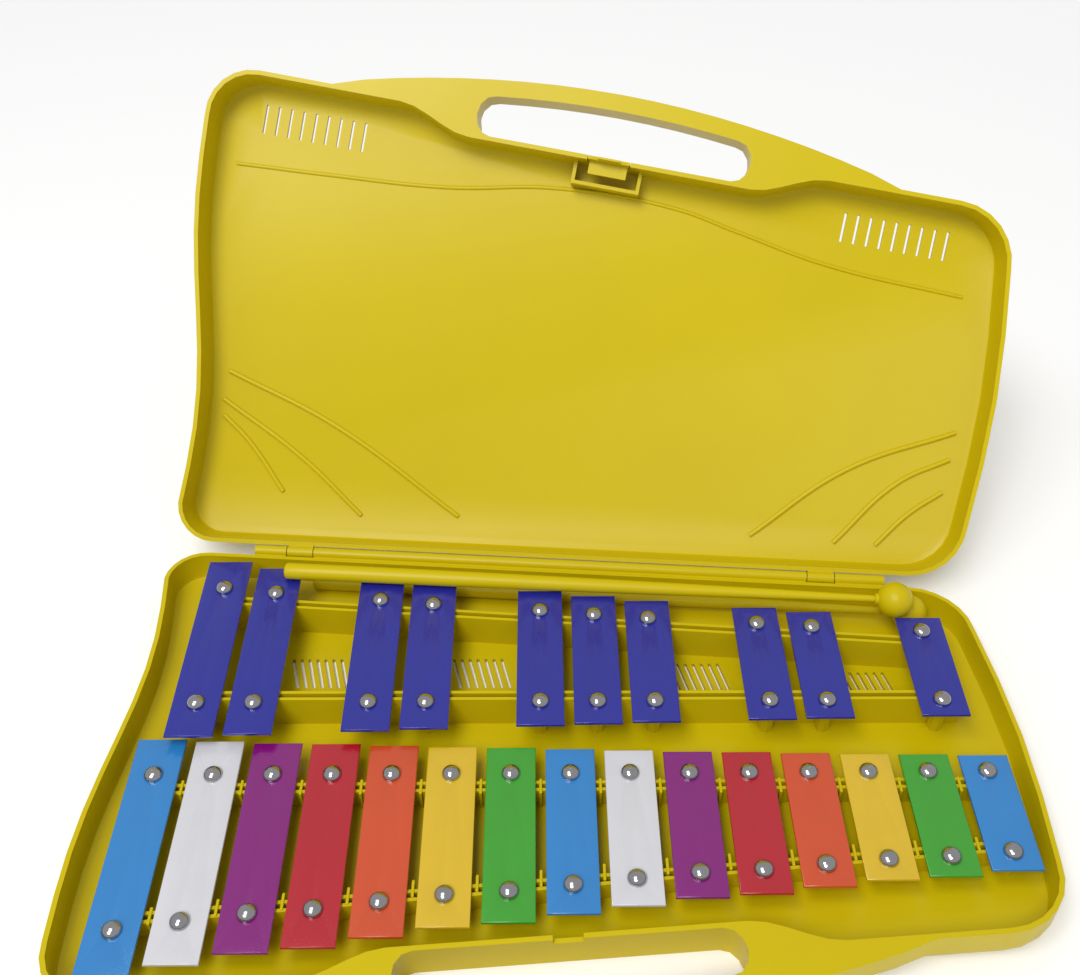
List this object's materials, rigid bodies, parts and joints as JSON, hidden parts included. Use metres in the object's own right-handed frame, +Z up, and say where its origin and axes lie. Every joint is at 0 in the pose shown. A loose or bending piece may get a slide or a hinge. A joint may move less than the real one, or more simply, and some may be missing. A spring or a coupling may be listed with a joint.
{
  "type": "metallophone",
  "caption": "Metallophone with painted steel bars on two levels in a hinged yellow plastic carrying case, lid open, with two mallets.",
  "frame": {"origin": "middle of the base's flat underside, on the surface the case stands on", "axes": "+Z up, -Y towards the player and the handle, +Y towards the lid hinge, +X towards the high notes"},
  "size_m": [0.3944, 0.3783, 0.1942],
  "materials": {
    "case_yellow": "satin moulded polypropylene",
    "bar_light_blue": "gloss paint on steel",
    "bar_white": "gloss paint on steel",
    "bar_purple": "gloss paint on steel",
    "bar_red": "gloss paint on steel",
    "bar_orange": "gloss paint on steel",
    "bar_yellow": "gloss paint on steel",
    "bar_green": "gloss paint on steel",
    "bar_dark_blue": "gloss paint on steel",
    "pin_chrome": "polished",
    "pin_steel": "drawn wire"
  },
  "bodies": {
    "base": {"base_case": "case_yellow", "hinge_pin_left": "pin_steel", "hinge_pin_right": "pin_steel", "natural_bar_01": "bar_light_blue", "natural_bar_02": "bar_white", "natural_bar_03": "bar_purple", "natural_bar_04": "bar_red", "natural_bar_05": "bar_orange", "natural_bar_06": "bar_yellow", "natural_bar_07": "bar_green", "natural_bar_08": "bar_light_blue", "natural_bar_09": "bar_white", "natural_bar_10": "bar_purple", "natural_bar_11": "bar_red", "natural_bar_12": "bar_orange", "natural_bar_13": "bar_yellow", "natural_bar_14": "bar_green", "natural_bar_15": "bar_light_blue", "chromatic_bar_01": "bar_dark_blue", "chromatic_bar_02": "bar_dark_blue", "chromatic_bar_03": "bar_dark_blue", "chromatic_bar_04": "bar_dark_blue", "chromatic_bar_05": "bar_dark_blue", "chromatic_bar_06": "bar_dark_blue", "chromatic_bar_07": "bar_dark_blue", "chromatic_bar_08": "bar_dark_blue", "chromatic_bar_09": "bar_dark_blue", "chromatic_bar_10": "bar_dark_blue", "natural_pin_01": "pin_chrome", "natural_pin_02": "pin_chrome", "natural_pin_03": "pin_chrome", "natural_pin_04": "pin_chrome", "natural_pin_05": "pin_chrome", "natural_pin_06": "pin_chrome", "natural_pin_07": "pin_chrome", "natural_pin_08": "pin_chrome", "natural_pin_09": "pin_chrome", "natural_pin_10": "pin_chrome", "natural_pin_11": "pin_chrome", "natural_pin_12": "pin_chrome", "natural_pin_13": "pin_chrome", "natural_pin_14": "pin_chrome", "natural_pin_15": "pin_chrome", "chromatic_pin_01": "pin_chrome", "chromatic_pin_02": "pin_chrome", "chromatic_pin_03": "pin_chrome", "chromatic_pin_04": "pin_chrome", "chromatic_pin_05": "pin_chrome", "chromatic_pin_06": "pin_chrome", "chromatic_pin_07": "pin_chrome", "chromatic_pin_08": "pin_chrome", "chromatic_pin_09": "pin_chrome", "chromatic_pin_10": "pin_chrome"},
    "lid": {"lid_case": "case_yellow"},
    "latch": {"latch_slide": "case_yellow"},
    "mallet_2": {"mallet_2_stick": "case_yellow", "mallet_2_head": "case_yellow"},
    "mallet_1": {"mallet_1_stick": "case_yellow", "mallet_1_head": "case_yellow"}
  },
  "joints": [
    {"name": "lid_hinge", "type": "hinge", "parent": "base", "child": "lid", "pos_m": [0, 0.10424, 0.01615], "axis": [-0.9971, 0.0762, 0], "range_deg": [-127, 0]},
    {"name": "latch_press", "type": "slide", "parent": "lid", "child": "latch", "axis": [-0.1948, -0.5819, -0.7896], "range_m": [0, 0.003], "stiffness_N_per_m": 300, "springref_m": -0.002},
    {"name": "mallet_2_lift", "type": "slide", "parent": "base", "child": "mallet_2", "axis": [0, 0, 1], "range_m": [0, 0.06]},
    {"name": "mallet_1_lift", "type": "slide", "parent": "mallet_2", "child": "mallet_1", "axis": [0, 0, 1], "range_m": [0, 0.06]}
  ]
}
